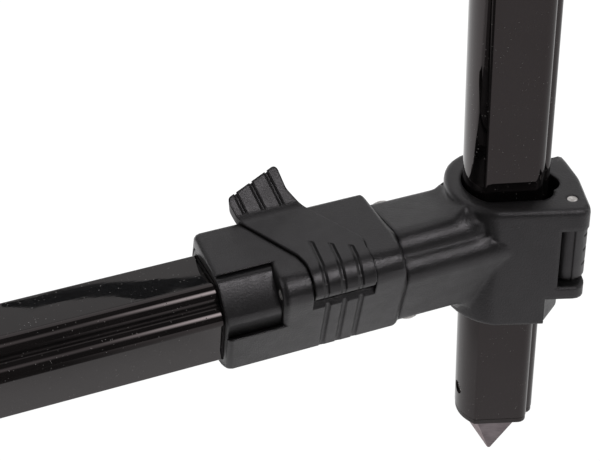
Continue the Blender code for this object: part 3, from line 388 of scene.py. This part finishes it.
def steel_finish():
    """Bright steel of pins and screws, hammered and finely scratched."""
    f = Finish("bright_steel")
    f.preset(Metallic=1.0)
    tone = f.noise(0.0012, 4.0)
    f.colour(f.mix(f.spread(tone, 0.35, 0.65), STEEL_DARK, STEEL_PALE))
    f.rough(f.spread(f.noise(0.0006, 3.0), 0.3, 0.7, 0.42, 0.62))
    f.raised(f.noise(0.0005, 3.0), 0.00008)
    return f.material


def spike_finish():
    """Lacquered flange and stem over a blackened steel point, ground along its faces and darker near the
    tip.
    """
    f = Finish("spike_blackened")
    f.preset(Specular_Tint=LACQUER_TINT)
    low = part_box("leg_spike")[0]
    height = f.apart(f.place)["Z"]
    line = low.z + SPIKE_POINT
    bare = f.spread(height, line + SPIKE_LINE, line - SPIKE_LINE)
    near_tip = f.spread(height, low.z + TIP_DARK_FROM, low.z + TIP_DARK_TO)
    cloud = f.spread(f.noise(0.005, 4.0), 0.35, 0.65)
    ground = f.noise(0.0006, 3.0, 0.6, f.stretched((0.25, 0.25, 1.0)))
    steel = f.mix(cloud, POINT_DARK, POINT_PALE)
    tip_dark = f.math("MULTIPLY", near_tip, f.spread(ground, 0.42, 0.58))
    steel = f.mix(tip_dark, steel, POINT_TIP_DARK)
    f.colour(f.mix(bare, f.mix(cloud, LACQUER_DARK, LACQUER_PALE), steel))
    f.join(bare, f.shader.inputs["Metallic"])
    f.rough(f.spread(ground, 0.3, 0.7, 0.30, 0.44))
    f.raised(ground, 0.000012)
    return f.material


def pad_finish():
    """Matt rubber of the brake pads."""
    f = Finish("pad_rubber_black")
    cloud = f.noise(0.003, 3.0)
    f.colour(f.mix(f.spread(cloud, 0.3, 0.7), RUBBER_DARK, RUBBER_PALE))
    f.rough(f.spread(cloud, 0.3, 0.7, 0.75, 0.9))
    f.raised(f.noise(0.0004, 2.0), 0.00004)
    return f.material


def soften(node, width):
    """Rounds a solid's sharp edges by width and evens the shading of its curved faces."""
    node.data.polygons.foreach_set("use_smooth", [True] * len(node.data.polygons))
    weld = node.modifiers.new("weld", "WELD")
    weld.merge_threshold = WELD
    bevel = node.modifiers.new("soft_edge", "BEVEL")
    bevel.width = width
    bevel.segments = 2
    bevel.limit_method = "ANGLE"
    bevel.angle_limit = SHARP_ANGLE
    bevel.use_clamp_overlap = True
    even = node.modifiers.new("even_shading", "WEIGHTED_NORMAL")
    even.keep_sharp = False
    even.weight = 70


def dress():
    """Gives every CAD node its finish and its softened edges."""
    satin = {"grain": 0.00045, "depth": 0.00002, "level": 0.009, "gloss": (0.36, 0.44)}
    tube = tube_finish()
    steel = steel_finish()
    pad = pad_finish()
    plug = moulding_finish("moulding_plug", grain=0.0005, depth=0.00002, level=0.013, gloss=(0.38, 0.48))
    finishes = {
        "bar_tube": tube, "leg_tube": tube,
        "head_body": moulding_finish("moulding_head", round_edge=HEAD_EDGE),
        "clamp_housing": moulding_finish("moulding_grained"),
        "socket_liner": moulding_finish("moulding_liner", grain=0.00045, depth=0.00003, level=0.008,
                                        gloss=(0.36, 0.44), relief=liner_crown),
        "bar_lever": moulding_finish("moulding_lever", relief=lever_troughs, rise=TROUGH_DEPTH, **satin),
        "leg_lever": moulding_finish("moulding_leg_lever", **satin),
        "bar_far_plug": plug, "bar_inner_plug": plug, "leg_top_cap": plug,
        "bar_shoe": plug, "leg_shoe": plug,
        "bar_shoe_pad": pad, "leg_shoe_pad": pad,
        "arm_screw_front": steel, "arm_screw_rear": steel,
        "bar_lever_pin": steel, "leg_lever_pin": steel, "spike_pin": steel,
        "leg_spike": spike_finish(),
    }
    for name, node in NODES.items():
        node.material_slots[0].material = finishes[name]
        soften(node, PIN_EDGE if finishes[name] is steel else SOFT_EDGE)


def put(name, data):
    """A new object in the scene that holds data."""
    thing = bpy.data.objects.new(name, data)
    bpy.context.scene.collection.objects.link(thing)
    return thing


def around(target, azimuth, elevation, distance):
    """The point at that distance from target, seen from it at azimuth and elevation in degrees."""
    a = math.radians(azimuth)
    e = math.radians(elevation)
    return Vector(target) + distance * Vector(
        (math.sin(a) * math.cos(e), -math.cos(a) * math.cos(e), math.sin(e)))


def lamp(name, azimuth, elevation, distance, width, height, radiance):
    """An area lamp that faces the studio's middle; returns its light."""
    light = bpy.data.lights.new(name, "AREA")
    light.shape = "RECTANGLE"
    light.size = width
    light.size_y = height
    light.energy = radiance * width * height * math.pi
    lamp_object = put(name, light)
    place = around(STUDIO_MIDDLE, azimuth, elevation, distance)
    lamp_object.rotation_euler = (Vector(STUDIO_MIDDLE) - place).to_track_quat("-Z", "Y").to_euler()
    lamp_object.location = place
    lamp_object.visible_camera = False
    return light


def soften_key(light):
    """Fades an area lamp towards its left end and towards its upper and lower edge."""
    light.use_nodes = True
    graph = Graph(light.node_tree)
    face = graph.apart(graph.add("NewGeometry").outputs["Parametric"])
    side = graph.spread(face["X"], *KEY_FADE, KEY_LEFT, KEY_RIGHT)
    arc = graph.math("MULTIPLY", face["Y"], graph.math("SUBTRACT", 1.0, face["Y"]))
    faded = graph.math("MULTIPLY", graph.math("POWER", arc, KEY_SOFTNESS), side)
    full = 4.0 ** KEY_SOFTNESS                  # the arc is 1/4 in the lamp's middle
    graph.join(graph.math("MULTIPLY", faded, full), graph.tree.nodes["Emission"].inputs["Strength"])


def studio():
    """Soft key above the camera, sheets of light behind the object, and a strip on each side."""
    lights = {name: lamp(name, *spec) for name, spec in LAMPS.items()}
    soften_key(lights["key"])


def flag():
    """A narrow dark card before the sheet behind, whose wavy shape shows in the gloss on top of the bar."""
    middle = Vector(STUDIO_MIDDLE)
    place = around(middle, FLAG_AZIMUTH, FLAG_ELEVATION, FLAG_DISTANCE)
    facing = (middle - place).normalized()
    sideways = Vector((0.0, 0.0, 1.0)).cross(facing).normalized()
    upward = facing.cross(sideways)
    corners = [place + sideways * u + upward * v for u, v in FLAG_LOW + FLAG_HIGH]
    mesh = bpy.data.meshes.new("flag")
    mesh.from_pydata(corners, [], [tuple(range(len(corners)))])
    cloth = Finish("flag_black")
    cloth.preset(Base_Color=FLAG_GREY, Roughness=CLOTH_ROUGHNESS)
    mesh.materials.append(cloth.material)
    piece = put("flag", mesh)
    piece.visible_camera = False


def seen_directly(graph):
    """A socket that is 1 for camera, glossy and transmission rays, and 0 for the rest."""
    path = graph.add("LightPath")
    total = path.outputs["Is Camera Ray"]
    for name in ("Is Glossy Ray", "Is Transmission Ray"):
        total = graph.math("MAXIMUM", total, path.outputs[name])
    return total


def room():
    """World: white to the camera and dim to all else, as in a studio with dark walls."""
    world = bpy.data.worlds.new("studio_world")
    world.use_nodes = True
    graph = Graph(world.node_tree)
    graph.tree.nodes.clear()
    whites = []
    for strength in (ROOM_LEVEL, 1.0):
        white = graph.add("Background")
        white.inputs["Color"].default_value = WHITE
        white.inputs["Strength"].default_value = strength
        whites.append(white.outputs["Background"])
    to_camera = graph.add("LightPath").outputs["Is Camera Ray"]
    graph.mix_shaders(to_camera, *whites, graph.add("OutputWorld"))
    bpy.context.scene.world = world


def floor_light(graph):
    """Strength of the table's glow: even white to the camera, and in reflections painted light that falls
    off to painted shade at the front left.
    """
    place = graph.apart(graph.place)
    fade = {name: graph.spread(place[axis], dark, light, FLOOR_DIM, level)
            for name, (axis, dark, light, level) in FLOOR_FADES.items()}
    level = graph.math("MULTIPLY", graph.add("LightPath").outputs["Is Camera Ray"], FLOOR_SEEN)
    for side in (graph.math("MINIMUM", fade["left"], fade["front"]), fade["under"], fade["behind"]):
        level = graph.math("MAXIMUM", level, side)
    return level


def floor():
    """A white table under the point of the spike, which glows: even white to the camera, with painted light
    and painted shade in reflections.
    """
    height = CAD_BOX[0].z - FLOOR_GAP
    corners = [(x * FLOOR_HALF, y * FLOOR_HALF, height) for x, y in ((-1, -1), (1, -1), (1, 1), (-1, 1))]
    mesh = bpy.data.meshes.new("floor")
    mesh.from_pydata(corners, [], [(0, 1, 2, 3)])
    table = put("floor", mesh)
    white = Finish("table_white_painted_glow")
    white.preset(Base_Color=FLOOR_WHITE, Roughness=CLOTH_ROUGHNESS, Specular_IOR_Level=0.0)
    glow = white.add("Emission")
    glow.inputs["Color"].default_value = WHITE
    white.join(floor_light(white), glow.inputs["Strength"])
    white.mix_shaders(white.math("MULTIPLY", seen_directly(white), FLOOR_GLOW),
                      white.shader.outputs["BSDF"], glow.outputs["Emission"],
                      white.tree.nodes["Material Output"])
    mesh.materials.append(white.material)


def camera():
    """The camera at the photograph's viewing angle."""
    data = bpy.data.cameras.new("camera")
    data.lens = CAMERA_LENS
    data.sensor_width = CAMERA_WIDTH
    data.clip_start = 0.01
    eye = put("camera", data)
    turn = (Matrix.Rotation(math.radians(CAMERA_AZIMUTH), 4, "Z")
            @ Matrix.Rotation(math.radians(90 - CAMERA_ELEVATION), 4, "X")
            @ Matrix.Rotation(math.radians(CAMERA_ROLL), 4, "Z"))
    eye.matrix_world = Matrix.Translation(CAMERA_PLACE) @ turn
    bpy.context.scene.camera = eye


camera()
room()
floor()
studio()
flag()
dress()

bpy.context.scene.view_settings.view_transform = "Standard"
